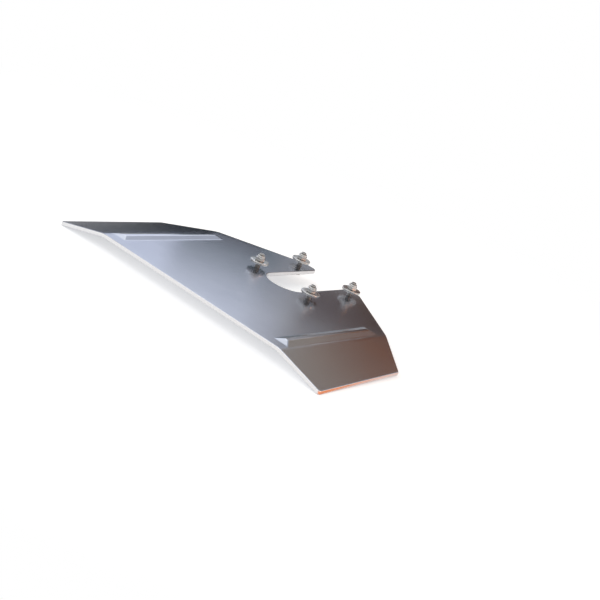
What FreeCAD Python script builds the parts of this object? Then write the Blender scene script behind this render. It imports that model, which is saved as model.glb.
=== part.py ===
import FreeCAD, Part
import math
import os

# Outboard hydrofoil: a folded plate with pressed ribs, clamped by four bolts, wide washers and locking nuts.
# Units are millimetres. +X is starboard, +Y is forward, +Z is up.
# The origin is the middle of the four bolts, on the plate's top face, which is the seating face.

V = FreeCAD.Vector

# Foil plate: outline, measured forward of the trailing edge and out from the centre line
PLATE_THICKNESS = 6.0
FOLD_HALF_REAR = 160.0        # centre line to fold line, at the trailing edge
FOLD_HALF_FRONT = 163.0       # centre line to fold line, at the leading edge
FOLD_CHORD = 258.0            # trailing edge to leading edge, along the fold line
WING_WIDTH_REAR = 79.0        # fold line to tip along the wing's slope, at the trailing edge
TIP_CHORD = 204.0             # length of the tip edge, measured fore and aft
WING_DROP_ANGLE = 14.0        # degrees that each wing is folded down
FOLD_OUTER_RADIUS = 40.0      # top face of the fold
NOSE_AHEAD_OF_BOLTS = 24.0    # front end of each arm, ahead of the front bolts
NOSE_FRONT_WIDTH = 15.8       # front end of each arm, from the slot's mouth corner to the leading edge
TIP_REAR_CORNER = 4.0
TIP_FRONT_CORNER = 3.0
NOSE_CORNER = 12.0
EDGE_ROUND = 1.2              # rounding of the sheet's edges, top and bottom

# U slot, open to the front
SLOT_WIDTH = 60.0
SLOT_BEHIND_BOLTS = 20.0      # rear end of the slot, behind the rear bolts
SLOT_MOUTH_CORNER = 8.0       # inner corner of each arm's front end

# Pressed ribs beside the folds, each with its outboard foot on the fold's bend
RIB_BASE_WIDTH = 23.0
RIB_CREST_WIDTH = 5.0
RIB_HEIGHT = 3.2
RIB_ON_BEND = 5.0             # how far the outboard foot reaches into the bend, at the rear end
RIB_TOE_IN = 1.0              # degrees that the rib turns inboard from the fold line, towards the front
RIB_REAR_GAP = 19.0           # trailing edge to the rib's rear end, along the fold
RIB_FRONT_GAP = 21.0          # leading edge to the rib's front end, on the rib's outboard side
RIB_REAR_RAMP = 11.0
RIB_FRONT_RAMP = 10.0
RIB_CREST_ROUND = 5.0
RIB_FOOT_ROUND = 6.0
RIB_HOLLOW_SHARE = 0.8        # depth of the hollow under the rib as a share of the rib's height
RIB_HOLLOW_ROUND = 3.0        # where the hollow's sides meet the underside

# Bolt pattern
BOLT_SPACING_ACROSS = 98.0
BOLT_SPACING_ALONG = 108.0
BOLTS_AHEAD_OF_EDGE = 216.0   # trailing edge to the rear bolts

# Fasteners
BOLT_RADIUS = 4.0
BOLT_LENGTH = 30.0            # under the head
BOLT_TIP_CHAMFER = 0.8
HEX_ACROSS_FLATS = 13.0
HEAD_HEIGHT = 5.3
WASHER_OUTER_RADIUS = 14.0
WASHER_THICKNESS = 3.0
WASHER_EDGE_CHAMFER = 0.4
NUT_HEIGHT = 8.0
NUT_HEX_HEIGHT = 5.6          # height of the nut's hexagon, the collar stands above it
NUT_COLLAR_WALL = 0.7         # steel round the insert
NUT_COLLAR_CHAMFER = 0.9
NUT_FACE_RADIUS = 5.8         # flat ring that is left at the ends of a hexagon by its chamfer
HEX_CHAMFER_ANGLE = 30.0
INSERT_HEIGHT = 2.2
INSERT_WALL = 1.1
COLLAR_LIP = 0.5              # crimped rim above the insert

# Fits
CLAMP_GAP = 7.5               # free height between the seating face and the upper washers
PLATE_HOLE_CLEARANCE = 0.5    # radial, bolt in plate
WASHER_HOLE_CLEARANCE = 0.5   # radial, bolt in washer
NUT_THREAD_CLEARANCE = 0.05   # radial, bolt in nut and in insert
INSERT_SIDE_CLEARANCE = 0.05  # radial, insert in its pocket

# Construction: stock and cutters run past the finished shape, and edges are picked within a margin
OVERRUN = 1.5
PICK_MARGIN = 3.0
FLAT_TOLERANCE = 0.01
HEAL_FINEST = 1e-7
HEAL_COARSEST = 1e-4
SINK = 0.8                    # most that the bend has fallen where a rib's foot meets it
SKIRT = 0.5                   # a rib form goes on below its foot by this share of its height
WALL_TILT = 0.35              # most that the normal of a narrow edge face rises
BROAD_TILT = 0.9              # least that the normal of a broad face rises

PLACES = {
    "rear_port": (-1, -1),
    "rear_starboard": (1, -1),
    "front_port": (-1, 1),
    "front_starboard": (1, 1),
}

TRAILING_Y = -BOLTS_AHEAD_OF_EDGE - BOLT_SPACING_ALONG / 2
DROP = math.radians(WING_DROP_ANGLE)


def bolt_place(name):
    """Place of a bolt's axis on the seating face."""
    side, row = PLACES[name]
    return V(side * BOLT_SPACING_ACROSS / 2, row * BOLT_SPACING_ALONG / 2, 0)


def rounded_face(corners):
    """Flat face from corners given as (point, radius), each corner rounded by a tangent arc."""
    edges = []
    ends = []
    count = len(corners)
    for i, (point, radius) in enumerate(corners):
        before = (corners[i - 1][0] - point).normalize()
        after = (corners[(i + 1) % count][0] - point).normalize()
        half = before.getAngle(after) / 2
        reach = radius / math.tan(half)
        middle = (before + after).normalize()
        top = point + middle * (radius / math.sin(half) - radius)
        start, end = point + before * reach, point + after * reach
        edges.append(Part.Arc(start, top, end).toShape())
        ends.append((start, end))
    for i in range(count):
        edges.append(Part.LineSegment(ends[i][1], ends[(i + 1) % count][0]).toShape())
    return Part.Face(Part.Wire(Part.__sortEdges__(edges)))


def mirrored(shape):
    """The same shape on the other side of the centre line."""
    return shape.mirror(V(0, 0, 0), V(1, 0, 0))


def fold_ends():
    """Rear and front end of the starboard fold line on the top face."""
    rear = V(FOLD_HALF_REAR, TRAILING_Y, 0)
    front = V(FOLD_HALF_FRONT, TRAILING_Y + FOLD_CHORD, 0)
    return rear, front


def nose_y():
    """Front end of the arms."""
    return BOLT_SPACING_ALONG / 2 + NOSE_AHEAD_OF_BOLTS


def leading_edge():
    """Front outer corner of the starboard arm, and how far the leading edge falls back per unit outward."""
    front = fold_ends()[1]
    nose = V(SLOT_WIDTH / 2 + SLOT_MOUTH_CORNER + NOSE_FRONT_WIDTH, nose_y(), 0)
    return nose, (nose.y - front.y) / (front.x - nose.x)


def outline_face(height):
    """Outline of the folded plate seen from above, as a face at the given height."""
    rear = fold_ends()[0]
    nose, sweep = leading_edge()
    tip_y = TRAILING_Y + TIP_CHORD
    tip_x = nose.x + (nose.y - tip_y) / sweep
    half = [
        (V(rear.x + WING_WIDTH_REAR * math.cos(DROP), TRAILING_Y, height), TIP_REAR_CORNER),
        (V(tip_x, tip_y, height), TIP_FRONT_CORNER),
        (V(nose.x, nose.y, height), NOSE_CORNER),
    ]
    other = [(V(-point.x, point.y, point.z), radius) for point, radius in reversed(half)]
    return rounded_face(half + other)


def bent_slab():
    """Untrimmed starboard half of the folded plate: a bent section drawn out along the fold line."""
    rear, front = fold_ends()
    along = (front - rear).normalize()
    out = V(along.y, -along.x, 0)
    up = V(0, 0, 1)
    wing_way = out * math.cos(DROP) - up * math.sin(DROP)
    wing_up = out * math.sin(DROP) + up * math.cos(DROP)
    half_up = out * math.sin(DROP / 2) + up * math.cos(DROP / 2)
    start = rear - along * FOLD_CHORD
    hub = start - out * FOLD_OUTER_RADIUS * math.tan(DROP / 2) - up * FOLD_OUTER_RADIUS
    centre_reach = -out * OVERRUN * max(FOLD_HALF_FRONT, FOLD_HALF_REAR)
    wing_reach = wing_way * OVERRUN * WING_WIDTH_REAR

    def corner(radius):
        return hub + up * radius, hub + half_up * radius, hub + wing_up * radius

    top, bottom = corner(FOLD_OUTER_RADIUS), corner(FOLD_OUTER_RADIUS - PLATE_THICKNESS)
    edges = [
        Part.LineSegment(top[0] + centre_reach, top[0]),
        Part.Arc(*top),
        Part.LineSegment(top[2], top[2] + wing_reach),
        Part.LineSegment(top[2] + wing_reach, bottom[2] + wing_reach),
        Part.LineSegment(bottom[2] + wing_reach, bottom[2]),
        Part.Arc(bottom[2], bottom[1], bottom[0]),
        Part.LineSegment(bottom[0], bottom[0] + centre_reach),
        Part.LineSegment(bottom[0] + centre_reach, top[0] + centre_reach),
    ]
    section = Part.Face(Part.Wire([edge.toShape() for edge in edges]))
    return section.extrude(along * 3 * FOLD_CHORD)


def folded_sheet():
    """The folded plate without ribs, slot or holes."""
    reach = OVERRUN * (max(FOLD_HALF_FRONT, FOLD_HALF_REAR) + WING_WIDTH_REAR)
    cutter = outline_face(-reach).extrude(V(0, 0, 2 * reach))
    starboard_side = Part.makeBox(reach, 2 * reach, 2 * reach, V(0, TRAILING_Y - FOLD_CHORD / 2, -reach))
    half = bent_slab().common(starboard_side)
    return half.fuse(mirrored(half)).common(cutter).removeSplitter()


def rib_slope():
    """Angle between a rib's sides and the plate."""
    return math.atan2(RIB_HEIGHT, (RIB_BASE_WIDTH - RIB_CREST_WIDTH) / 2)


def rib_place():
    """Rear outboard corner of the starboard rib, its angle from straight ahead in degrees, and its length."""
    rear, front = fold_ends()
    along = (front - rear).normalize()
    out = V(along.y, -along.x, 0)
    start = rear + along * RIB_REAR_GAP + out * (RIB_ON_BEND - FOLD_OUTER_RADIUS * math.tan(DROP / 2))
    nose, sweep = leading_edge()
    edge_y = nose.y - (start.x - nose.x) * sweep
    splay = math.degrees(math.atan2(along.x, along.y)) - RIB_TOE_IN
    return start, splay, edge_y - RIB_FRONT_GAP - start.y


def rib_form(base_z, height, inset):
    """Starboard rib form with sloping sides and ends: it stands on base_z, narrower by the inset all round."""
    start, splay, length = rib_place()
    side_ramp = (RIB_BASE_WIDTH - RIB_CREST_WIDTH) / 2 - inset

    def level(z, share):
        rear, front = inset + share * RIB_REAR_RAMP, length - inset - share * RIB_FRONT_RAMP
        low, high = -RIB_BASE_WIDTH + inset + share * side_ramp, -inset - share * side_ramp
        points = [V(low, rear, z), V(high, rear, z), V(high, front, z), V(low, front, z)]
        return Part.makePolygon(points + points[:1])

    form = Part.makeLoft([level(base_z - SKIRT * height, -SKIRT), level(base_z + height, 1)], True, True)
    form = form.makeFillet(RIB_CREST_ROUND, edges_above(form, base_z))
    form.rotate(V(0, 0, 0), V(0, 0, 1), -splay)
    return form.translated(start)


def edges_above(solid, height):
    """Edges of a solid whose middle lies above the given height."""
    return [edge for edge in solid.Edges if edge.CenterOfMass.z > height]


def foot_edges(sheet, height):
    """Edges where the ribs' sides, or their hollows, meet the broad face that is flat at the given height."""
    start, splay, length = rib_place()
    to_own = FreeCAD.Rotation(V(0, 0, 1), splay)

    def at_foot(point):
        own = to_own.multVec(V(abs(point.x), point.y, point.z - height) - start)
        across = -RIB_BASE_WIDTH - PICK_MARGIN < own.x < RIB_ON_BEND
        along = -PICK_MARGIN < own.y < length + PICK_MARGIN
        return across and along and -SINK < own.z < FLAT_TOLERANCE

    return [edge for edge in sheet.Edges if all(at_foot(vertex.Point) for vertex in edge.Vertexes)]


def rounded(solid, radius, edges):
    """The solid with some edges rounded, and healed of the loose tolerances that rounding on a bend leaves."""
    solid = solid.makeFillet(radius, edges)
    solid.fix(HEAL_FINEST, HEAL_FINEST, HEAL_COARSEST)
    return solid


def add_ribs(sheet):
    """Press both ribs: a ridge on the top face and its hollow on the underside."""
    ridge = rib_form(0, RIB_HEIGHT, 0)
    hollow = rib_form(-PLATE_THICKNESS, RIB_HEIGHT * RIB_HOLLOW_SHARE, PLATE_THICKNESS * math.tan(rib_slope() / 2))
    sheet = sheet.fuse([ridge, mirrored(ridge)])
    sheet = rounded(sheet, RIB_FOOT_ROUND, foot_edges(sheet, 0))
    sheet = sheet.cut([hollow, mirrored(hollow)])
    return rounded(sheet, RIB_HOLLOW_ROUND, foot_edges(sheet, -PLATE_THICKNESS))


def slot_cutter():
    """The U slot: a round rear end, straight sides and a mouth that flares at the corners."""
    radius = SLOT_WIDTH / 2
    centre_y = -BOLT_SPACING_ALONG / 2 - SLOT_BEHIND_BOLTS + radius
    front_y = nose_y()
    flare = SLOT_MOUTH_CORNER
    turn = math.sqrt(0.5)
    left, right = V(-radius, centre_y, 0), V(radius, centre_y, 0)
    round_end = Part.Arc(left, V(0, centre_y - radius, 0), right).toShape()
    edges = [round_end]
    for side in (-1, 1):
        inner = V(side * radius, front_y - flare, 0)
        outer = V(side * (radius + flare), front_y, 0)
        middle = V(side * (radius + flare * (1 - turn)), front_y - flare * (1 - turn), 0)
        beyond = V(outer.x, front_y + flare, 0)
        edges.append(Part.LineSegment(V(side * radius, centre_y, 0), inner).toShape())
        edges.append(Part.Arc(inner, middle, outer).toShape())
        edges.append(Part.LineSegment(outer, beyond).toShape())
    edges.append(Part.LineSegment(beyond, V(-beyond.x, beyond.y, 0)).toShape())
    face = Part.Face(Part.Wire(Part.__sortEdges__(edges)))
    face.translate(V(0, 0, -2 * PLATE_THICKNESS))
    return face.extrude(V(0, 0, 3 * PLATE_THICKNESS))


def outline_edges(solid):
    """Long edges of the sheet's rim: those that part a broad face from the narrow edge face."""
    chosen = []
    for edge in solid.Edges:
        faces = solid.ancestorsOfType(edge, Part.Face)
        if len(faces) != 2:
            continue
        tilts = sorted(abs(face_tilt(face, edge)) for face in faces)
        if tilts[0] < WALL_TILT and tilts[1] > BROAD_TILT:
            chosen.append(edge)
    return chosen


def face_tilt(face, edge):
    """Upward part of a face's normal at the middle of one of its edges."""
    point = edge.valueAt((edge.FirstParameter + edge.LastParameter) / 2)
    u, v = face.Surface.parameter(point)
    return face.normalAt(u, v).z


def foil_plate():
    """The whole plate."""
    plate = add_ribs(folded_sheet())
    plate = plate.cut(slot_cutter())
    plate = plate.makeFillet(EDGE_ROUND, outline_edges(plate))
    hole_radius = BOLT_RADIUS + PLATE_HOLE_CLEARANCE
    for name in PLACES:
        start = bolt_place(name) - V(0, 0, 2 * PLATE_THICKNESS)
        plate = plate.cut(Part.makeCylinder(hole_radius, 3 * PLATE_THICKNESS, start))
    return plate


def hexagon(height):
    """Hexagonal prism on z = 0, with two flats facing fore and aft."""
    corner = HEX_ACROSS_FLATS / math.sqrt(3)
    points = [V(corner * math.cos(math.radians(60 * i)), corner * math.sin(math.radians(60 * i)), 0)
              for i in range(7)]
    return Part.Face(Part.makePolygon(points)).extrude(V(0, 0, height))


def chamfer_cone(z, facing):
    """Cone that trims the corners of a hexagon at height z, on its upper side (1) or lower side (-1)."""
    spread = HEX_ACROSS_FLATS
    rise = spread * math.tan(math.radians(HEX_CHAMFER_ANGLE))
    low = z - facing * rise
    return Part.makeCone(NUT_FACE_RADIUS + spread, NUT_FACE_RADIUS, rise, V(0, 0, low), V(0, 0, facing))


def bolt():
    """Hexagon set screw, head down, with the underside of its head at z = 0."""
    head = hexagon(HEAD_HEIGHT)
    head.translate(V(0, 0, -HEAD_HEIGHT))
    head = head.common(chamfer_cone(-HEAD_HEIGHT, -1))
    shank = Part.makeCylinder(BOLT_RADIUS, BOLT_LENGTH)
    tip = [edge for edge in shank.Edges if edge.Closed and edge.Vertexes[0].Z > BOLT_LENGTH / 2]
    shank = shank.makeChamfer(BOLT_TIP_CHAMFER, tip)
    return head.fuse(shank).removeSplitter()


def washer():
    """Wide plain washer on z = 0."""
    disc = Part.makeCylinder(WASHER_OUTER_RADIUS, WASHER_THICKNESS)
    rims = [edge for edge in disc.Edges if edge.Closed]
    disc = disc.makeChamfer(WASHER_EDGE_CHAMFER, rims)
    return disc.cut(Part.makeCylinder(BOLT_RADIUS + WASHER_HOLE_CLEARANCE, WASHER_THICKNESS))


def nut():
    """Steel body of the locking nut on z = 0: hexagon, collar and the pocket for the insert."""
    body = hexagon(NUT_HEX_HEIGHT).common(chamfer_cone(NUT_HEX_HEIGHT, 1)).common(chamfer_cone(0, -1))
    bore = BOLT_RADIUS + NUT_THREAD_CLEARANCE
    pocket = bore + INSERT_WALL + INSERT_SIDE_CLEARANCE
    collar = Part.makeCylinder(pocket + NUT_COLLAR_WALL, NUT_HEIGHT)
    top = [edge for edge in collar.Edges if edge.Closed and edge.Vertexes[0].Z > NUT_HEIGHT / 2]
    collar = collar.makeChamfer(NUT_COLLAR_CHAMFER, top)
    floor_z = NUT_HEIGHT - COLLAR_LIP - INSERT_HEIGHT
    body = body.fuse(collar).removeSplitter()
    body = body.cut(Part.makeCylinder(bore, NUT_HEIGHT))
    body = body.cut(Part.makeCylinder(pocket, INSERT_HEIGHT, V(0, 0, floor_z)))
    return body.cut(Part.makeCylinder(pocket - COLLAR_LIP, NUT_HEIGHT, V(0, 0, floor_z)))


def nut_insert():
    """Nylon ring at its place in the nut."""
    inner = BOLT_RADIUS + NUT_THREAD_CLEARANCE
    floor_z = NUT_HEIGHT - COLLAR_LIP - INSERT_HEIGHT
    ring = Part.makeCylinder(inner + INSERT_WALL, INSERT_HEIGHT, V(0, 0, floor_z))
    return ring.cut(Part.makeCylinder(inner, INSERT_HEIGHT, V(0, 0, floor_z)))


def fasteners():
    """Every fastener of the four joints, by node name."""
    under_head = -PLATE_THICKNESS - WASHER_THICKNESS
    nut_seat = CLAMP_GAP + WASHER_THICKNESS
    stack = {
        "bolt": (bolt(), under_head),
        "lower_washer": (washer(), under_head),
        "upper_washer": (washer(), CLAMP_GAP),
        "nut": (nut(), nut_seat),
        "nut_insert": (nut_insert(), nut_seat),
    }
    pieces = {}
    for place in PLACES:
        for kind, (shape, height) in stack.items():
            pieces[kind + "_" + place] = shape.translated(bolt_place(place) + V(0, 0, height))
    return pieces


def main():
    """Write one STEP file for each piece."""
    os.makedirs("parts", exist_ok=True)
    pieces = {"foil_plate": foil_plate()}
    pieces.update(fasteners())
    for name, shape in pieces.items():
        shape.exportStep("parts/" + name + ".step")
        print(name, len(shape.Solids), round(shape.Volume, 1), shape.isValid())


main()
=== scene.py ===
"""Outboard hydrofoil: its finishes, threaded fasteners, studio and camera."""

from __future__ import annotations

import logging
import math
import sys
from abc import ABC, abstractmethod
from dataclasses import dataclass, field
from enum import Enum
from typing import Callable, Mapping, Optional, Sequence, Union

import bmesh
import bpy
from mathutils import Matrix, Vector

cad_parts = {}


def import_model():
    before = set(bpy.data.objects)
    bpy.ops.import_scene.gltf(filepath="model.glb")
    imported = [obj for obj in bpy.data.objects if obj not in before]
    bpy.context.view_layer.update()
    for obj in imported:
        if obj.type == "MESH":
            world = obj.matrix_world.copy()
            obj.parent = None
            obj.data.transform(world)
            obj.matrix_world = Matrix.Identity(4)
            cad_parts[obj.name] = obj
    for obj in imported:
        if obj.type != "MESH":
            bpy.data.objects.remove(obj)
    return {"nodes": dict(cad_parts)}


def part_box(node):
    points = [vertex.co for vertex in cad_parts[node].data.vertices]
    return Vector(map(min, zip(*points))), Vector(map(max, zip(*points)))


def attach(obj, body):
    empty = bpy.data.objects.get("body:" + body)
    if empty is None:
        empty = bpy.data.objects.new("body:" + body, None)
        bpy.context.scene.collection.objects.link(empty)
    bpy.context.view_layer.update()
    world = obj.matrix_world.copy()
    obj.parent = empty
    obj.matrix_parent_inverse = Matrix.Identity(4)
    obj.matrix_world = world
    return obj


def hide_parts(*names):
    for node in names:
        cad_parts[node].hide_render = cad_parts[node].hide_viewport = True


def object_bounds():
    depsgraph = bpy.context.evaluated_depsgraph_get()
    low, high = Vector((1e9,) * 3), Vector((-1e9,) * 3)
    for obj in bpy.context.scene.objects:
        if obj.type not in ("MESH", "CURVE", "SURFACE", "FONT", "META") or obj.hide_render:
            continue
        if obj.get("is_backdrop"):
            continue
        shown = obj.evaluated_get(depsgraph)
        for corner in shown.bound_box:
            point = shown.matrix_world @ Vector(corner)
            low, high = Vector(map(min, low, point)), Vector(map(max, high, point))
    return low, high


LOG = logging.getLogger("hydrofoil")
MM = 0.001
WELD = 0.0005 * MM
STUDIO_WELD = 0.01 * MM
FLOOR_GAP = 0.2 * MM
SKYWARD = Vector((0, 0, 1))

Triple = tuple[float, float, float]
Colour = Triple
Span = tuple[float, float]
Along = Union[float, Callable[[float], float]]
Ease = Callable[[float, float], float]
Ring = list[bmesh.types.BMVert]
Key = Union[str, int]


class Slot(Enum):
    """Material slots of the record."""

    PLATE = "plate"
    STEEL = "stainless"
    NYLON = "nylon"


class Place(Enum):
    """The four bolted joints."""

    REAR_PORT = "rear_port"
    REAR_STARBOARD = "rear_starboard"
    FRONT_PORT = "front_port"
    FRONT_STARBOARD = "front_starboard"


class Signal:
    """One output of a node tree, used in Python expressions."""

    def __init__(self, recipe: "Recipe", socket: bpy.types.NodeSocket) -> None:
        """Wrap a socket.

        Args:
            recipe: The recipe whose node tree holds the socket.
            socket: The output socket.
        """
        self.recipe = recipe
        self.socket = socket

    def _maths(self, operation: str, *values: "Number") -> "Signal":
        """Add a Math node on the given values."""
        inputs = dict(enumerate(values))
        return self.recipe.node("ShaderNodeMath", {"operation": operation}, inputs)

    def __add__(self, other: "Number") -> "Signal":
        """Sum."""
        return self._maths("ADD", self, other)

    def __radd__(self, other: float) -> "Signal":
        """Sum, the number first."""
        return self._maths("ADD", other, self)

    def __sub__(self, other: "Number") -> "Signal":
        """Difference."""
        return self._maths("SUBTRACT", self, other)

    def __rsub__(self, other: float) -> "Signal":
        """Difference, the number first."""
        return self._maths("SUBTRACT", other, self)

    def __mul__(self, other: "Number") -> "Signal":
        """Product."""
        return self._maths("MULTIPLY", self, other)

    def __rmul__(self, other: float) -> "Signal":
        """Product, the number first."""
        return self._maths("MULTIPLY", other, self)

    def __truediv__(self, other: "Number") -> "Signal":
        """Quotient."""
        return self._maths("DIVIDE", self, other)

    def __rtruediv__(self, other: float) -> "Signal":
        """Quotient, the number first."""
        return self._maths("DIVIDE", other, self)

    def __abs__(self) -> "Signal":
        """Absolute value."""
        return self._maths("ABSOLUTE", self)

    def length_with(self, other: "Signal") -> "Signal":
        """Length of the vector (self, other)."""
        return self._maths("SQRT", self * self + other * other)

    def angle_to(self, other: "Signal") -> "Signal":
        """Angle of the point (other, self) about the origin."""
        return self._maths("ARCTAN2", self, other)

    def most(self, other: "Number") -> "Signal":
        """The larger of two values."""
        return self._maths("MAXIMUM", self, other)

    def rise(self, start: float, end: float) -> "Signal":
        """Smooth mask that goes from 0 at start to 1 at end; end may be the smaller.

        Args:
            start: Value at which the mask is 0.
            end: Value at which the mask is 1.

        Returns:
            The mask.
        """
        settings = {"interpolation_type": "SMOOTHSTEP", "clamp": True}
        inputs = {"Value": self, "From Min": start, "From Max": end}
        return self.recipe.node("ShaderNodeMapRange", settings, inputs, "Result")

    def between(self, low: float, high: float) -> "Signal":
        """The value 0 to 1 spread over another range."""
        return self * (high - low) + low


Number = Union[Signal, float]
Paint = Union[Signal, Colour]


@dataclass(frozen=True)
class Noise:
    """A fractal noise from 0 to 1: cycles per metre, finer layers, their strength and its stretch."""

    per_metre: float
    detail: float = 3.0
    rough: float = 0.55
    stretch: Optional[Triple] = None


@dataclass(frozen=True)
class Scratches:
    """Thin lines along the edges of random cells: cells per metre, line width as a share, stretch."""

    per_metre: float
    width: float
    stretch: Optional[Triple] = None


@dataclass(frozen=True)
class Layer:
    """A second colour that shows where a value goes through a span, up to a share."""

    colour: Colour
    span: Span
    share: float = 1.0


class Recipe:
    """A node tree and the tools that it is written with."""

    mix_share, mix_first, mix_second, mix_result = 0, 6, 7, 2

    def __init__(self, tree: bpy.types.NodeTree) -> None:
        """Start with an empty tree.

        Args:
            tree: The node tree.
        """
        self.tree = tree
        self.tree.nodes.clear()

    def add(
        self,
        kind: str,
        settings: Optional[Mapping[str, object]] = None,
        inputs: Optional[Mapping[Key, object]] = None,
    ) -> bpy.types.Node:
        """Add any node.

        Args:
            kind: Blender's name of the node type.
            settings: Properties of the node, set before its sockets.
            inputs: Value or signal of each socket, by name or number.

        Returns:
            The node.
        """
        made = self.tree.nodes.new(kind)
        for key, value in (settings or {}).items():
            setattr(made, key, value)
        for key, value in (inputs or {}).items():
            if isinstance(value, Signal):
                self.tree.links.new(value.socket, made.inputs[key])
            else:
                made.inputs[key].default_value = value
        return made

    def node(
        self,
        kind: str,
        settings: Optional[Mapping[str, object]] = None,
        inputs: Optional[Mapping[Key, object]] = None,
        output: Key = 0,
    ) -> Signal:
        """Add any node and take one of its outputs.

        Args:
            kind: Blender's name of the node type.
            settings: Properties of the node, set before its sockets.
            inputs: Value or signal of each socket, by name or number.
            output: Name or number of the socket that is returned.

        Returns:
            The chosen output of the node.
        """
        return Signal(self, self.add(kind, settings, inputs).outputs[output])

    def place(self) -> Signal:
        """Position on the piece in the frame's metres."""
        return self.node("ShaderNodeTexCoord", output="Object")

    def facing(self) -> Signal:
        """Direction that the surface faces, in the frame."""
        return self.node("ShaderNodeTexCoord", output="Normal")

    def rays(self) -> list[Signal]:
        """Whether the ray comes from the camera, from a reflection or through clear material."""
        kinds = ("Is Camera Ray", "Is Glossy Ray", "Is Transmission Ray")
        return [self.node("ShaderNodeLightPath", output=kind) for kind in kinds]

    def parts_of(self, vector: Signal) -> list[Signal]:
        """The three components of a vector."""
        made = self.add("ShaderNodeSeparateXYZ", inputs={0: vector})
        return [Signal(self, socket) for socket in made.outputs]

    def vector(self, x: Number, y: Number, z: Number) -> Signal:
        """A vector from three components."""
        return self.node("ShaderNodeCombineXYZ", inputs={0: x, 1: y, 2: z})

    def stretched(self, vector: Signal, scale: Optional[Triple]) -> Signal:
        """A vector scaled along each axis.

        Args:
            vector: The vector.
            scale: Scale of each axis, or None to leave the vector alone.

        Returns:
            The scaled vector.
        """
        if scale is None:
            return vector
        return self.node("ShaderNodeVectorMath", {"operation": "MULTIPLY"}, {0: vector, 1: scale})

    def noise(self, vector: Signal, kind: Noise) -> Signal:
        """Fractal noise.

        Args:
            vector: Where the noise is read.
            kind: The noise.

        Returns:
            The noise, from 0 to 1.
        """
        inputs = {
            "Vector": self.stretched(vector, kind.stretch),
            "Scale": kind.per_metre,
            "Detail": kind.detail,
            "Roughness": kind.rough,
        }
        return self.node("ShaderNodeTexNoise", {"noise_dimensions": "3D"}, inputs, "Fac")

    def scratches(self, vector: Signal, kind: Scratches) -> Signal:
        """Thin random lines.

        Args:
            vector: Where the lines are read.
            kind: The lines.

        Returns:
            Mask that is 1 on the lines.
        """
        inputs = {
            "Vector": self.stretched(vector, kind.stretch),
            "Scale": kind.per_metre,
            "Randomness": 1.0,
        }
        distance = self.node("ShaderNodeTexVoronoi", {"feature": "DISTANCE_TO_EDGE"}, inputs, "Distance")
        return distance.rise(kind.width, 0.0)

    def blend(self, share: Number, first: Paint, second: Paint) -> Signal:
        """Mix of two colours.

        Args:
            share: Share of the second colour.
            first: First colour.
            second: Second colour.

        Returns:
            The mixed colour.
        """
        inputs: dict[Key, object] = {self.mix_share: share}
        for number, paint in ((self.mix_first, first), (self.mix_second, second)):
            inputs[number] = paint if isinstance(paint, Signal) else opaque(paint)
        return self.node("ShaderNodeMix", {"data_type": "RGBA"}, inputs, self.mix_result)

    def cover(self, under: Paint, value: Signal, layer: Layer) -> Signal:
        """Lay a second colour over a colour where a value is high."""
        return self.blend(value.rise(*layer.span) * layer.share, under, layer.colour)

    def bump(self, height: Signal, depth: float, under: Optional[Signal] = None) -> Signal:
        """Surface relief.

        Args:
            height: Height from 0 to 1.
            depth: Depth of the relief in metres.
            under: Another relief that this one lies on.

        Returns:
            The bent normal.
        """
        inputs: dict[Key, object] = {"Strength": 1.0, "Distance": depth, "Height": height}
        if under is not None:
            inputs["Normal"] = under
        return self.node("ShaderNodeBump", inputs=inputs, output="Normal")

    def glow(self, colour: Colour = (1.0, 1.0, 1.0), strength: Number = 1.0) -> Signal:
        """Shader of a surface that shines by itself."""
        return self.node("ShaderNodeEmission", inputs={"Color": opaque(colour), "Strength": strength})

    def either(self, share: Signal, first: Signal, second: Signal) -> Signal:
        """Mix of two shaders."""
        return self.node("ShaderNodeMixShader", inputs={0: share, 1: first, 2: second})

    def close(self, shader: Signal, kind: str = "ShaderNodeOutputMaterial") -> None:
        """Send a shader to the tree's output."""
        self.add(kind, inputs={"Surface": shader})


class Finish(Recipe):
    """A procedural material."""

    def __init__(self, name: str) -> None:
        """Start an empty material.

        Args:
            name: Name of the material.
        """
        self.material = bpy.data.materials.new(name)
        self.material.use_nodes = True
        super().__init__(self.material.node_tree)

    def surface(self, inputs: Mapping[Key, object]) -> None:
        """Close the recipe with its surface shader."""
        self.close(self.node("ShaderNodeBsdfPrincipled", inputs=inputs, output="BSDF"))

    def dress(self, piece: bpy.types.Object) -> None:
        """Give a piece this finish."""
        piece.data.materials.clear()
        piece.data.materials.append(self.material)


@dataclass(frozen=True)
class BoltPattern:
    """Spacing of the four bolts about the frame's origin, across and fore and aft."""

    across: float
    along: float

    @classmethod
    def read(cls) -> "BoltPattern":
        """Take the spacing from the CAD model.

        Returns:
            The pattern.
        """
        corners = (Place.REAR_PORT, Place.FRONT_STARBOARD)
        rear, front = (node_box(f"bolt_{place.value}")[2] for place in corners)
        return cls(front.x - rear.x, front.y - rear.y)

    def outward(self, recipe: Recipe, place: Signal) -> tuple[Signal, Signal]:
        """Offsets from the nearest bolt's axis, outward from the middle.

        Args:
            recipe: The recipe that asks.
            place: Position on the piece.

        Returns:
            The offset across and the offset fore and aft.
        """
        x, y, _ = recipe.parts_of(place)
        return abs(x) - self.across / 2, abs(y) - self.along / 2


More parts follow.
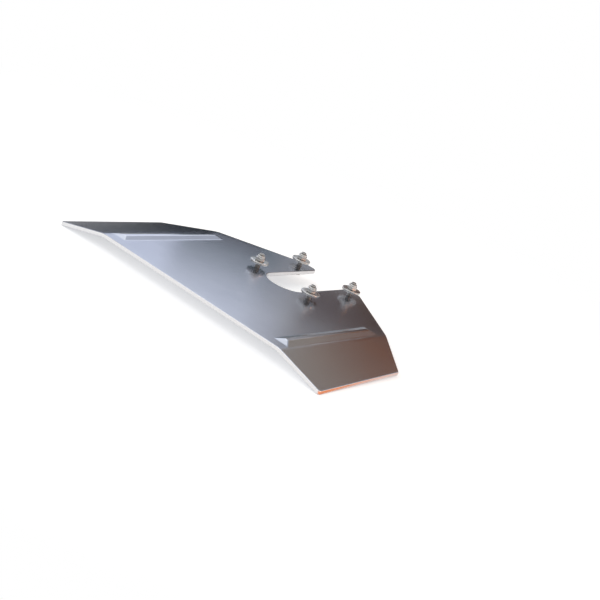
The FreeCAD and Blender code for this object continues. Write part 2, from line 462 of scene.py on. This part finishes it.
@dataclass(frozen=True)
class SheetFinish:
    """Satin rolled aluminium sheet with bright machined edges."""

    pattern: BoltPattern
    colour: Colour = (0.53, 0.55, 0.60)
    edge_colour: Colour = (0.90, 0.90, 0.91)
    glancing_tint: float = 0.7
    cloud: Noise = Noise(9.0, 4.0, 0.5)
    cloud_layer: Layer = Layer((0.48, 0.50, 0.55), (0.3, 0.72))
    grain: Noise = Noise(900.0, 4.0, 0.6, (0.035, 1.0, 1.0))
    grain_layer: Layer = Layer((0.62, 0.63, 0.67), (0.35, 0.75), 0.12)
    grain_depth: float = 0.002 * MM
    speck: Noise = Noise(1400.0, 2.0, 0.7)
    speck_layer: Layer = Layer((0.22, 0.225, 0.25), (0.62, 0.8), 0.07)
    cross: Noise = Noise(540.0, 2.0, 0.55, (1.0, 0.06, 1.0))
    cross_layer: Layer = Layer((0.72, 0.72, 0.73), (0.3, 0.7), 0.35)
    cross_height: float = 0.3
    hairs: Scratches = Scratches(26.0, 0.006, (0.35, 1.6, 1.0))
    hair_patches: Noise = Noise(21.0, 2.0)
    hair_span: Span = (0.52, 0.68)
    hair_share: float = 0.12
    hair_depth: float = 0.002 * MM
    # Rib crest marks: partly wear, partly a painted highlight along each crest.
    wear_and_sheen_noise: Noise = Noise(120.0, 2.0, 0.55, (1.0, 0.2, 1.0))
    wear_and_sheen_range: Span = (0.5, 1.0)
    wear_and_sheen_share: float = 0.3
    wear_polish: float = 0.05
    crest_heights: Span = (2.4 * MM, 3.1 * MM)
    edge_tilt: Span = (0.75, 0.35)
    edge_rough: float = 0.3
    cloud_rough: Span = (0.19, 0.26)
    grain_rough: Span = (-0.03, 0.03)
    # Painted contact shade: a dark ring at each washer's edge on the sheet.
    shade_ring_radius: float = 14.6 * MM
    shade_ring_fade: Span = (1.6 * MM, 1.2 * MM)
    shade_ring_layer: Layer = Layer((0.16, 0.16, 0.17), (-0.5, -0.9), 0.5)

    def make(self) -> Finish:
        """Write the recipe.

        Returns:
            The finish.
        """
        finish = Finish("satin_sheet")
        place = finish.place()
        height = finish.parts_of(place)[2]
        upward = finish.parts_of(finish.facing())[2]
        rim = abs(upward).rise(*self.edge_tilt)

        grain = finish.noise(place, self.grain)
        cross = finish.noise(place, self.cross)
        cloud = finish.noise(place, self.cloud)
        speck = finish.noise(place, self.speck)
        hairs = finish.scratches(place, self.hairs)
        hairs = hairs * finish.noise(place, self.hair_patches).rise(*self.hair_span)
        # Lighter rib crests: partly wear, partly a painted highlight along each crest.
        crest_wear_and_sheen = height.rise(*self.crest_heights) * finish.noise(place, self.wear_and_sheen_noise).between(*self.wear_and_sheen_range)

        colour = finish.cover(self.colour, cloud, self.cloud_layer)
        colour = finish.cover(colour, grain, self.grain_layer)
        colour = finish.cover(colour, speck, self.speck_layer)
        colour = finish.blend(crest_wear_and_sheen * self.wear_and_sheen_share + hairs * self.hair_share, colour, self.edge_colour)
        # Painted shade: a dark ring at each washer's edge, on the downward faces only.
        underneath = upward.rise(*self.shade_ring_layer.span) * self.shade_ring_layer.share
        colour = finish.blend(self.washer_shade_ring(finish, place) * underneath, colour, self.shade_ring_layer.colour)
        edge = finish.cover(self.edge_colour, cross, self.cross_layer)
        colour = finish.blend(rim, colour, edge)

        rough = cloud.between(*self.cloud_rough) + grain.between(*self.grain_rough)
        rough = rough - crest_wear_and_sheen * self.wear_polish
        rough = rough * (1.0 - rim) + rim * self.edge_rough
        relief = grain * (1.0 - self.cross_height) + cross * self.cross_height
        relief = finish.bump(relief, self.grain_depth)
        relief = finish.bump(hairs, self.hair_depth, relief)
        tint = (self.glancing_tint, self.glancing_tint, self.glancing_tint)
        finish.surface(
            {
                "Base Color": colour,
                "Metallic": 1.0,
                "Roughness": rough,
                "Normal": relief,
                "Specular Tint": opaque(tint),
            }
        )
        return finish

    def washer_shade_ring(self, finish: Finish, place: Signal) -> Signal:
        """Painted contact shade: a dark ring round each bolt where a washer's edge meets the sheet.

        Args:
            finish: The finish that is being written.
            place: Position on the sheet.

        Returns:
            Mask that is 1 on the ring.
        """
        out_x, out_y = self.pattern.outward(finish, place)
        distance = out_x.length_with(out_y)
        inner_fade, outer_fade = self.shade_ring_fade
        outer = distance.rise(self.shade_ring_radius + outer_fade, self.shade_ring_radius)
        return outer * distance.rise(self.shade_ring_radius - inner_fade, self.shade_ring_radius)


@dataclass(frozen=True)
class SteelFinish:
    """Bright stainless steel, turned on round faces and lightly scratched, with grime and painted shade
    near each bolt's axis.
    """

    pattern: BoltPattern
    colour: Colour = (0.64, 0.63, 0.61)
    flat_tilt: Span = (0.6, 0.9)
    turning_pitch: float = 0.35 * MM
    turning_drift: float = 0.7
    turning_per_height: float = 40.0
    drawn_stretch: Triple = (30.0, 90.0, 200.0)
    grain: Noise = Noise(1.0, 3.0, 0.6)
    grain_layer: Layer = Layer((0.5, 0.49, 0.475), (0.3, 0.8), 0.3)
    grain_depth: float = 0.006 * MM
    nicks: Scratches = Scratches(420.0, 0.03)
    nick_patches: Noise = Noise(330.0, 2.0)
    nick_span: Span = (0.5, 0.62)
    nick_depth: float = 0.012 * MM
    # Colour of the grime and of the painted shade near each bolt's axis.
    grime_and_shade_colour: Colour = (0.23, 0.21, 0.19)
    grime_cloud: Noise = Noise(240.0, 3.0, 0.5)
    grime_span: Span = (0.55, 0.8)
    grime_share: float = 0.35
    root_radii: Span = (4.0 * MM, 3.3 * MM)
    root_shade_share: float = 0.65
    grain_rough: Span = (0.17, 0.31)
    grime_rough: float = 0.2

    def make(self) -> Finish:
        """Write the recipe.

        Returns:
            The finish.
        """
        finish = Finish("bright_steel")
        place = finish.place()
        height = finish.parts_of(place)[2]
        out_x, out_y = self.pattern.outward(finish, place)
        radius = out_x.length_with(out_y)
        turn = out_y.angle_to(out_x)
        flat = abs(finish.parts_of(finish.facing())[2]).rise(*self.flat_tilt)

        lathe = finish.vector(
            radius / self.turning_pitch, turn * self.turning_drift, height * self.turning_per_height
        )
        by_turn, by_height, by_radius = self.drawn_stretch
        pull = finish.vector(turn * by_turn, height * by_height, radius * by_radius)
        grain = finish.noise(lathe, self.grain) * flat + finish.noise(pull, self.grain) * (1.0 - flat)
        nicks = finish.scratches(place, self.nicks)
        nicks = nicks * finish.noise(place, self.nick_patches).rise(*self.nick_span)
        grime_and_root_shade = finish.noise(place, self.grime_cloud).rise(*self.grime_span) * self.grime_share
        # Painted shade: darker within about 4 mm of each bolt's axis, in the thread roots and the head's
        # dish, and on the screw's end face.
        grime_and_root_shade = grime_and_root_shade + radius.rise(*self.root_radii) * self.root_shade_share

        colour = finish.cover(self.colour, grain, self.grain_layer)
        colour = finish.blend(grime_and_root_shade, colour, self.grime_and_shade_colour)
        rough = grain.between(*self.grain_rough) + grime_and_root_shade * self.grime_rough
        relief = finish.bump(grain, self.grain_depth)
        relief = finish.bump(nicks, self.nick_depth, relief)
        finish.surface({"Base Color": colour, "Metallic": 1.0, "Roughness": rough, "Normal": relief})
        return finish


@dataclass(frozen=True)
class NylonFinish:
    """Plain off-white nylon with faint moulding grain."""

    colour: Colour = (0.74, 0.73, 0.67)
    cloud: Noise = Noise(350.0, 2.0)
    cloud_layer: Layer = Layer((0.58, 0.565, 0.5), (0.35, 0.75), 0.7)
    grain: Noise = Noise(1900.0, 3.0, 0.6)
    grain_rough: Span = (0.38, 0.52)
    grain_depth: float = 0.01 * MM
    glow_share: float = 0.12
    glow_depth: float = 0.6 * MM

    def make(self) -> Finish:
        """Write the recipe.

        Returns:
            The finish.
        """
        finish = Finish("plain_nylon")
        place = finish.place()
        grain = finish.noise(place, self.grain)
        cloud = finish.noise(place, self.cloud)
        finish.surface(
            {
                "Base Color": finish.cover(self.colour, cloud, self.cloud_layer),
                "Roughness": grain.between(*self.grain_rough),
                "Normal": finish.bump(grain, self.grain_depth),
                "Subsurface Weight": self.glow_share,
                "Subsurface Scale": self.glow_depth,
            }
        )
        return finish


def opaque(colour: Colour) -> tuple[float, float, float, float]:
    """A colour with full cover."""
    return (*colour, 1.0)


def node_box(name: str) -> tuple[Vector, Vector, Vector]:
    """Lowest corner, highest corner and middle of a CAD node's box."""
    low, high = (Vector(corner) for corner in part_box(name))
    return low, high, (low + high) / 2


def quarter(count: int) -> list[tuple[float, float]]:
    """Points of a quarter round.

    Args:
        count: Number of steps.

    Returns:
        Pairs (sine, 1 - cosine) from start to end of the round.
    """
    angles = [math.pi / 2 * step / count for step in range(count + 1)]
    return [(math.sin(angle), 1 - math.cos(angle)) for angle in angles]


@dataclass(frozen=True)
class Hexagon:
    """Hexagon with chamfered ends and slightly rounded corners, two flats facing fore and aft."""

    across_flats: float
    face_radius: float
    chamfer_angle: float = math.radians(30)
    corner_trim: float = 0.985

    def reach(self, angle: float) -> float:
        """Distance from the axis to the side.

        Args:
            angle: Angle about the axis, from starboard.

        Returns:
            The distance.
        """
        flat = self.across_flats / 2
        off = angle % (math.pi / 3) - math.pi / 6
        return min(flat / math.cos(off), flat / math.cos(math.pi / 6) * self.corner_trim)

    def fall(self, angle: float) -> float:
        """Height that the end chamfer takes from the side at an angle."""
        return max(0.0, self.reach(angle) - self.face_radius) * math.tan(self.chamfer_angle)


@dataclass(frozen=True)
class Thread:
    """Metric thread, drawn as one helical band; its form goes by shares of pitch and depth."""

    crest: float
    root: float
    pitch: float = 1.25 * MM
    form: tuple[tuple[float, float], ...] = ((0.0, 0.0), (0.125, 0.0), (0.5, 1.0), (0.625, 1.0))

    def depth_at(self, row: int) -> float:
        """Radius of a row before the ends are eased."""
        return self.root + (self.crest - self.root) * self.form[row % len(self.form)][1]

    def height_at(self, row: int) -> float:
        """Height of a row above the helix's start, at angle zero."""
        turns, part = divmod(row, len(self.form))
        return (turns + self.form[part][0]) * self.pitch


@dataclass
class Turning:
    """Draws surfaces round one upright axis."""

    axis: Vector
    steps: int = 72
    mesh: bmesh.types.BMesh = field(default_factory=bmesh.new)

    def angle(self, step: int) -> float:
        """Angle of a step round the axis."""
        return 2 * math.pi * step / self.steps

    def point(self, radius: float, angle: float, height: float) -> bmesh.types.BMVert:
        """One vertex at a radius, angle and height."""
        flat = Vector((radius * math.cos(angle), radius * math.sin(angle), 0))
        return self.mesh.verts.new(Vector((self.axis.x, self.axis.y, height)) + flat)

    def ring(self, radius: Along, height: Along) -> Ring:
        """A ring of vertices.

        Args:
            radius: Radius, or its function of the angle.
            height: Height, or its function of the angle.

        Returns:
            The vertices in order.
        """
        made = []
        for step in range(self.steps):
            angle = self.angle(step)
            far = radius(angle) if callable(radius) else radius
            high = height(angle) if callable(height) else height
            made.append(self.point(far, angle, high))
        return made

    def skin(self, section: Sequence[tuple[Along, Along]], closed: bool = False) -> list[Ring]:
        """Turn a section round the axis.

        Args:
            section: Radius and height of each point of the section.
            closed: True if the last point joins the first.

        Returns:
            The ring of each point.
        """
        rings = [self.ring(radius, height) for radius, height in section]
        pairs = list(zip(rings, rings[1:]))
        if closed:
            pairs.append((rings[-1], rings[0]))
        for lower, upper in pairs:
            for step in range(self.steps):
                after = (step + 1) % self.steps
                self.mesh.faces.new((lower[step], lower[after], upper[after], upper[step]))
        return rings

    def cap(self, ring: Ring, upward: bool) -> None:
        """Close a ring with a face."""
        self.mesh.faces.new(ring if upward else list(reversed(ring)))

    def helix(self, thread: Thread, low: float, high: float, ease: Ease) -> None:
        """Draw a thread between two heights; its ends come out as plain rings.

        Args:
            thread: The thread.
            low: Height of the lower end.
            high: Height of the upper end.
            ease: Gives the radius from the thread's radius and the height.
        """
        turn = len(thread.form)
        rows = (math.ceil((high - low) / thread.pitch) + 2) * turn
        start = low - thread.pitch
        grid = []
        for row in range(rows + 1):
            line = []
            for step in range(self.steps):
                rise = step / self.steps * thread.pitch
                height = min(max(start + thread.height_at(row) + rise, low), high)
                line.append(self.point(ease(thread.depth_at(row), height), self.angle(step), height))
            grid.append(line)
        last = self.steps - 1
        for row in range(rows):
            quads = [(row, step, row, step + 1) for step in range(last)]
            if row + 1 + turn <= rows:
                quads.append((row, last, row + turn, 0))
            for near, left, far, right in quads:
                base = (grid[near][left], grid[far][right])
                self.mesh.faces.new((*base, grid[far + 1][right], grid[near + 1][left]))

    def finish(self, name: str, sharp: float = math.radians(32)) -> bpy.types.Object:
        """Turn the drawing into an object.

        Args:
            name: Name of the piece.
            sharp: Edges that turn by more than this stay sharp.

        Returns:
            The object, with its place in its mesh.
        """
        bmesh.ops.remove_doubles(self.mesh, verts=self.mesh.verts, dist=WELD)
        bmesh.ops.dissolve_degenerate(self.mesh, edges=self.mesh.edges, dist=WELD)
        loose = [vert for vert in self.mesh.verts if not vert.link_faces]
        bmesh.ops.delete(self.mesh, geom=loose, context="VERTS")
        bmesh.ops.recalc_face_normals(self.mesh, faces=self.mesh.faces)
        data = bpy.data.meshes.new(name)
        self.mesh.to_mesh(data)
        self.mesh.free()
        for face in data.polygons:
            face.use_smooth = True
        data.set_sharp_from_angle(angle=sharp)
        made = bpy.data.objects.new(name, data)
        bpy.context.scene.collection.objects.link(made)
        return made


@dataclass
class BoltedJoint:
    """One joint: set screw, two washers, locking nut and its nylon ring."""

    place: Place
    finishes: Mapping[Slot, Finish]
    thread_depth: float = 0.72 * MM
    thread_crest: float = 3.95 * MM
    face_radius: float = 5.8 * MM
    dish_depth: float = 0.35 * MM
    dish_floor_share: float = 0.62
    dish_rim_share: float = 0.7
    bore: float = 4.05 * MM
    bore_mouth: float = 0.45 * MM
    bore_thread_depth: float = 0.42 * MM
    bore_end: float = 0.1 * MM
    nut_hex_height: float = 5.6 * MM
    collar_radius: float = 5.9 * MM
    crimp: float = 1.1 * MM
    lip: float = 0.5 * MM
    lip_ease: float = 0.1 * MM
    lip_ease_height: float = 0.15 * MM
    washer_bore: float = 4.5 * MM
    washer_roll: float = 0.7 * MM
    bore_roll_share: float = 0.6
    washer_burr: float = 0.2 * MM
    burr_form: tuple[tuple[float, float], ...] = ((0.0, 1.0), (0.3, 0.3), (1.0, 0.0))
    washer_steps: int = 96
    ring_bulge: float = 0.12 * MM
    round_steps: int = 5

    def node(self, kind: str) -> str:
        """Name of the joint's CAD node of a kind."""
        return f"{kind}_{self.place.value}"

    def settle(self, piece: bpy.types.Object, kind: str, body: str, slot: Slot) -> None:
        """Dress a piece, put it on its body and let it stand for its node.

        Args:
            piece: The piece.
            kind: Kind of the node that it stands for.
            body: Body that carries it.
            slot: Material slot of its finish.
        """
        self.finishes[slot].dress(piece)
        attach(piece, body)
        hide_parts(self.node(kind))
        LOG.info("%s: %d faces", piece.name, len(piece.data.polygons))

    def build(self) -> None:
        """Make the joint's five pieces."""
        self.screw()
        self.washer("lower_washer", "foil", False)
        self.washer("upper_washer", f"washer_{self.place.value}", True)
        self.nut()
        self.ring()

    def screw(self) -> None:
        """Set screw, head down with a shallow dish in its face, threaded all the way."""
        low, high, middle = node_box(self.node("bolt"))
        head_low, tip = low.z, high.z
        under_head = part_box(self.node("lower_washer"))[0][2]
        turning = Turning(middle)
        shape = Hexagon(high.y - low.y, self.face_radius)
        rings = turning.skin(
            [
                (self.face_radius * self.dish_floor_share, head_low + self.dish_depth),
                (self.face_radius * self.dish_rim_share, head_low),
                (self.face_radius, head_low),
                (shape.reach, lambda angle: head_low + shape.fall(angle)),
                (shape.reach, under_head),
                (self.thread_crest, under_head),
            ]
        )
        turning.cap(rings[0], False)
        turning.cap(rings[-1], True)
        thread = Thread(self.thread_crest, self.thread_crest - self.thread_depth)
        turning.helix(
            thread,
            under_head,
            tip,
            lambda radius, height: min(radius, thread.root + tip - height),
        )
        turning.cap(turning.ring(thread.root, tip), True)
        turning.cap(turning.ring(thread.root, under_head), False)
        self.settle(turning.finish(self.node("set_screw")), "bolt", "foil", Slot.STEEL)

    def washer(self, kind: str, body: str, rolled_up: bool) -> None:
        """Stamped washer, rolled round on one face and sharp on the other.

        Args:
            kind: Kind of the node.
            body: Body that carries the washer.
            rolled_up: True if the round face is on top.
        """
        low, high, middle = node_box(self.node(kind))
        outer, inner = (high.x - low.x) / 2, self.washer_bore
        top, bottom, way = (high.z, low.z, 1) if rolled_up else (low.z, high.z, -1)
        roll, burr = self.washer_roll, self.washer_burr
        bore_roll = roll * self.bore_roll_share
        rounds = quarter(self.round_steps)
        section = [(outer - roll + sine * roll, top - way * fall * roll) for sine, fall in rounds]
        for across, up in self.burr_form:
            section.append((outer - across * burr, bottom + way * up * burr))
        for across, up in reversed(self.burr_form):
            section.append((inner + across * burr, bottom + way * up * burr))
        for sine, fall in reversed(rounds):
            section.append((inner + bore_roll - sine * bore_roll, top - way * fall * bore_roll))
        turning = Turning(middle, self.washer_steps)
        turning.skin(section, closed=True)
        self.settle(turning.finish(self.node(kind) + "_disc"), kind, body, Slot.STEEL)

    def nut(self) -> None:
        """Steel body of the locking nut: hexagon, crimped collar and threaded bore."""
        low, high, middle = node_box(self.node("nut"))
        pocket_low, pocket_high, _ = node_box(self.node("nut_insert"))
        shape = Hexagon(high.y - low.y, self.face_radius)
        hex_top = low.z + self.nut_hex_height
        ring_outer = (pocket_high.x - pocket_low.x) / 2
        lip_radius = ring_outer - self.lip
        mouth, bore_end = self.bore + self.bore_mouth, self.bore + self.bore_end
        section: list[tuple[Along, Along]] = [
            (mouth, low.z),
            (self.face_radius, low.z),
            (shape.reach, lambda angle: low.z + shape.fall(angle)),
            (shape.reach, lambda angle: hex_top - shape.fall(angle)),
            (self.collar_radius, hex_top),
        ]
        for sine, fall in reversed(quarter(self.round_steps)):
            section.append((self.collar_radius - self.crimp * (1 - sine), high.z - fall * self.crimp))
        section += [
            (lip_radius + self.lip_ease, high.z),
            (lip_radius, high.z - self.lip_ease_height),
            (lip_radius, pocket_high.z),
            (ring_outer, pocket_high.z),
            (ring_outer, pocket_low.z),
            (bore_end, pocket_low.z),
        ]
        turning = Turning(middle)
        turning.skin(section)
        bottom, top = low.z, pocket_low.z
        turning.helix(
            Thread(self.bore, self.bore + self.bore_thread_depth),
            bottom,
            top,
            lambda radius, height: max(radius, mouth - (height - bottom), bore_end - (top - height)),
        )
        piece = turning.finish(self.node("locking_nut"))
        self.settle(piece, "nut", f"locknut_{self.place.value}", Slot.STEEL)

    def ring(self) -> None:
        """Nylon ring, its upper face swollen where the screw has cut through."""
        low, high, middle = node_box(self.node("nut_insert"))
        outer = (high.x - low.x) / 2
        free = outer - self.lip
        section = [(outer, low.z), (outer, high.z), (free, high.z)]
        for sine, fall in quarter(self.round_steps):
            section.append((free - sine * (free - self.bore), high.z + self.ring_bulge * (1 - fall)))
        section.append((self.bore, low.z))
        turning = Turning(middle)
        turning.skin(section, closed=True)
        piece = turning.finish(self.node("nylon_ring"))
        self.settle(piece, "nut_insert", f"locknut_{self.place.value}", Slot.NYLON)


@dataclass
class FoilPlate:
    """The folded and pressed sheet itself, which keeps its CAD mesh."""

    nodes: Mapping[str, bpy.types.Object]
    finish: Finish
    name: str = "foil_plate"

    def build(self) -> None:
        """Dress the plate."""
        plate = self.nodes[self.name]
        self.finish.dress(plate)
        LOG.info("%s: %d faces", plate.name, len(plate.data.polygons))


@dataclass(frozen=True)
class Lamp:
    """A soft panel lamp; its level is the light that it gives on the seating face."""

    name: str
    place: Triple
    size: tuple[float, float]
    level: float
    colour: Colour = (1.0, 1.0, 1.0)

    def hang(self, target: Vector) -> None:
        """Make the lamp.

        Args:
            target: Point that it faces.
        """
        toward = target - Vector(self.place)
        distance = toward.length
        facing = abs(toward.z) / distance
        data = bpy.data.lights.new(self.name, "AREA")
        data.shape = "RECTANGLE"
        data.size, data.size_y = self.size
        data.color = self.colour
        data.energy = self.level * (math.pi * distance) ** 2 / facing
        lamp = bpy.data.objects.new(self.name, data)
        lamp.location = self.place
        lamp.rotation_euler = toward.to_track_quat("-Z", "Y").to_euler()
        lamp.visible_camera = False
        bpy.context.scene.collection.objects.link(lamp)
        LOG.info("lamp %s at %.2f m", self.name, distance)


def studio_sheet(name: str, strips: Sequence[Sequence[Vector]]) -> bpy.types.Object:
    """Make an object of the studio out of flat strips.

    Args:
        name: Name of the object.
        strips: Corners of each face.

    Returns:
        The object.
    """
    mesh = bmesh.new()
    for corners in strips:
        mesh.faces.new([mesh.verts.new(corner) for corner in corners])
    bmesh.ops.remove_doubles(mesh, verts=mesh.verts, dist=STUDIO_WELD)
    data = bpy.data.meshes.new(name)
    mesh.to_mesh(data)
    mesh.free()
    made = bpy.data.objects.new(name, data)
    bpy.context.scene.collection.objects.link(made)
    made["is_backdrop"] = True
    return made


@dataclass(frozen=True)
class Reflected(ABC):
    """A coloured studio surface that only shows in polished metal."""

    name: str
    colour: Colour

    @abstractmethod
    def strips(self) -> list[list[Vector]]:
        """Corners of each flat strip of the surface."""

    def put_up(self) -> None:
        """Make the surface."""
        made = studio_sheet(self.name, self.strips())
        finish = Finish(self.name)
        finish.close(finish.glow(self.colour))
        finish.dress(made)
        made.visible_camera = False
        made.visible_diffuse = False
        made.visible_transmission = False
        made.visible_volume_scatter = False
        made.visible_shadow = False


@dataclass(frozen=True)
class Card(Reflected):
    """A flat card near the object, in metres and degrees.

    Its face is turned by its heading from forward and leans over by its lean.
    """

    place: Triple
    size: tuple[float, float]
    heading: float = 0.0
    lean: float = 0.0

    def strips(self) -> list[list[Vector]]:
        """The card as one strip.

        Returns:
            Its four corners, in a list of one.
        """
        heading, lean = math.radians(self.heading), math.radians(self.lean)
        away = Vector((-math.sin(heading), math.cos(heading), 0))
        side = away.cross(SKYWARD) * self.size[0] / 2
        up = (SKYWARD * math.cos(lean) - away * math.sin(lean)) * self.size[1] / 2
        middle = Vector(self.place)
        return [[middle - side - up, middle + side - up, middle + side + up, middle - side + up]]


@dataclass(frozen=True)
class WallPanel(Reflected):
    """A part of the round studio wall, between two headings from starboard and two heights."""

    start: float
    end: float
    low: float
    high: float
    middle: tuple[float, float] = (0.0, -0.1)
    radius: float = 1.1
    steps: int = 8

    def strips(self) -> list[list[Vector]]:
        """The panel's upright strips.

        Returns:
            The four corners of each strip.
        """
        feet = []
        for step in range(self.steps + 1):
            angle = math.radians(self.start + (self.end - self.start) * step / self.steps)
            x = self.middle[0] + self.radius * math.cos(angle)
            y = self.middle[1] + self.radius * math.sin(angle)
            feet.append((Vector((x, y, self.low)), Vector((x, y, self.high))))
        return [[left[0], right[0], right[1], left[1]] for left, right in zip(feet, feet[1:])]


@dataclass
class Studio:
    """Pale floor, white backdrop and soft lamps, with the cards and panels that metal reflects."""

    target: Vector
    floor_height: float
    ambient: float = 0.5
    floor_half: float = 12.0
    floor_glow: float = 0.3
    floor_glow_direct: float = 0.52
    floor_white: float = 0.8
    floor_near: float = 0.45
    floor_far: float = 0.95
    lamps: tuple[Lamp, ...] = (
        Lamp("key", (-0.7, -1.7, 1.25), (2.4, 2.0), 0.30),
        Lamp("starboard_warm", (1.3, 0.25, 0.30), (0.6, 0.4), 0.06, (1.0, 0.42, 0.18)),
    )
    reflected: tuple[Reflected, ...] = (
        Card("low_flag", (0.02, 0.025, 0.03), (-0.49, -0.126, 0.012), (0.82, 0.074), 37.6),
        Card("starboard_flag", (0.09, 0.04, 0.025), (0.02, 0.23, 0.085), (0.24, 0.07), 25.0),
        Card("tip_card", (1.0, 0.31, 0.12), (0.256, -0.08, -0.0244), (0.038, 0.4), 0.0, 90.0),
        WallPanel("port_top", (1.55, 1.58, 1.65), 126.0, 170.0, 0.85, 1.63),
        WallPanel("port_outer", (1.10, 1.17, 1.38), 133.0, 170.0, 0.05, 0.85),
        WallPanel("port_inner", (1.42, 1.48, 1.68), 122.0, 133.0, 0.37, 0.85),
        WallPanel("port_low", (0.06, 0.10, 0.11), 121.0, 133.0, 0.05, 0.37),
        WallPanel("middle_gap", (0.20, 0.20, 0.21), 118.0, 121.0, 0.24, 0.37),
        WallPanel("middle_low", (0.60, 0.61, 0.64), 111.0, 121.0, 0.03, 0.24),
        WallPanel("middle_mid", (0.40, 0.38, 0.37), 111.0, 118.0, 0.24, 0.55),
        WallPanel("middle_port", (0.95, 0.98, 1.08), 118.0, 122.0, 0.37, 0.85),
        WallPanel("middle_high", (0.66, 0.70, 0.80), 107.0, 118.0, 0.55, 0.85),
        WallPanel("middle_top", (0.66, 0.70, 0.80), 107.0, 126.0, 0.85, 1.63),
        WallPanel("starboard_inner", (0.24, 0.15, 0.10), 104.0, 111.0, 0.05, 0.55),
        WallPanel("starboard_low", (0.24, 0.06, 0.01), 87.0, 104.0, 0.05, 0.69),
        WallPanel("starboard_high", (0.44, 0.40, 0.34), 85.0, 107.0, 0.69, 1.63),
        WallPanel("rear_low", (0.66, 0.67, 0.70), 171.0, 442.0, 0.17, 0.30, steps=24),
        WallPanel("rear_high", (0.46, 0.47, 0.50), 171.0, 442.0, 0.30, 0.95, steps=24),
    )

    def build(self) -> None:
        """Make the whole studio."""
        self.backdrop()
        self.floor()
        for lamp in self.lamps:
            lamp.hang(self.target)
        for surface in self.reflected:
            surface.put_up()

    def backdrop(self) -> None:
        """World: white where the camera or metal sees it, a pale soft room for the rest."""
        world = bpy.data.worlds.new("studio")
        bpy.context.scene.world = world
        world.use_nodes = True
        recipe = Recipe(world.node_tree)
        direct, shiny, clear_ray = recipe.rays()
        seen = direct.most(shiny).most(clear_ray)
        white = opaque((1.0, 1.0, 1.0))
        soft = recipe.node("ShaderNodeBackground", inputs={"Color": white, "Strength": self.ambient})
        bright = recipe.node("ShaderNodeBackground", inputs={"Color": white, "Strength": 1.0})
        recipe.close(recipe.either(seen, soft, bright), "ShaderNodeOutputWorld")

    def floor(self) -> None:
        """Wide pale floor that keeps the object's shadow and doesn't show from below."""
        half = self.floor_half
        corners = ((-half, -half), (half, -half), (half, half), (-half, half))
        floor = studio_sheet("studio_floor", [[Vector((x, y, self.floor_height)) for x, y in corners]])
        finish = Finish("pale_floor")
        direct, shiny, clear_ray = finish.rays()
        mirrored = shiny.most(clear_ray)
        seen = direct.most(mirrored)
        x, y, _ = finish.parts_of(finish.place())
        away = x.length_with(y).rise(self.floor_near, self.floor_far)
        grey = opaque((self.floor_white, self.floor_white, self.floor_white))
        matt = finish.node("ShaderNodeBsdfDiffuse", inputs={"Color": grey})
        glow = finish.glow(strength=direct * self.floor_glow_direct + mirrored * self.floor_glow)
        near = finish.node("ShaderNodeAddShader", inputs={0: matt, 1: glow})
        beyond = finish.either(seen * away, near, finish.glow())
        under = finish.node("ShaderNodeNewGeometry", output="Backfacing")
        clear = finish.node("ShaderNodeBsdfTransparent")
        finish.close(finish.either(under, beyond, clear))
        finish.dress(floor)


@dataclass(frozen=True)
class Viewpoint:
    """Where the photographer stood, in metres and degrees, and the lens in millimetres."""

    place: Triple = (0.988, -1.705, 0.573)
    heading: float = -29.925
    pitch: float = -16.971
    roll: float = 22.463
    lens: float = 84.8
    sensor: float = 36.0

    def build(self) -> None:
        """Set up the camera."""
        angles = (self.heading, self.pitch, self.roll)
        heading, pitch, roll = (math.radians(angle) for angle in angles)
        flat = Vector((math.sin(heading), math.cos(heading), 0))
        ahead = flat * math.cos(pitch) + SKYWARD * math.sin(pitch)
        level = ahead.cross(SKYWARD).normalized()
        upright = level.cross(ahead)
        right = math.cos(roll) * level + math.sin(roll) * upright
        up = -math.sin(roll) * level + math.cos(roll) * upright
        data = bpy.data.cameras.new("view")
        data.lens = self.lens
        data.sensor_width = self.sensor
        camera = bpy.data.objects.new("view", data)
        turn = Matrix((right, up, -ahead)).transposed().to_4x4()
        camera.matrix_world = Matrix.Translation(self.place) @ turn
        bpy.context.scene.collection.objects.link(camera)
        bpy.context.scene.camera = camera


def main() -> None:
    """Build the whole scene."""
    logging.basicConfig(level=logging.INFO, format="%(name)s %(message)s", stream=sys.stdout)
    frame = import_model()
    frame_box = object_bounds()
    bpy.context.scene.view_settings.view_transform = "Standard"
    pattern = BoltPattern.read()
    finishes = {
        Slot.PLATE: SheetFinish(pattern).make(),
        Slot.STEEL: SteelFinish(pattern).make(),
        Slot.NYLON: NylonFinish().make(),
    }
    FoilPlate(frame["nodes"], finishes[Slot.PLATE]).build()
    for place in Place:
        BoltedJoint(place, finishes).build()
    low, high = (Vector(corner) for corner in frame_box)
    Studio((low + high) / 2, low.z - FLOOR_GAP).build()
    Viewpoint().build()


if __name__ == "__main__":
    main()
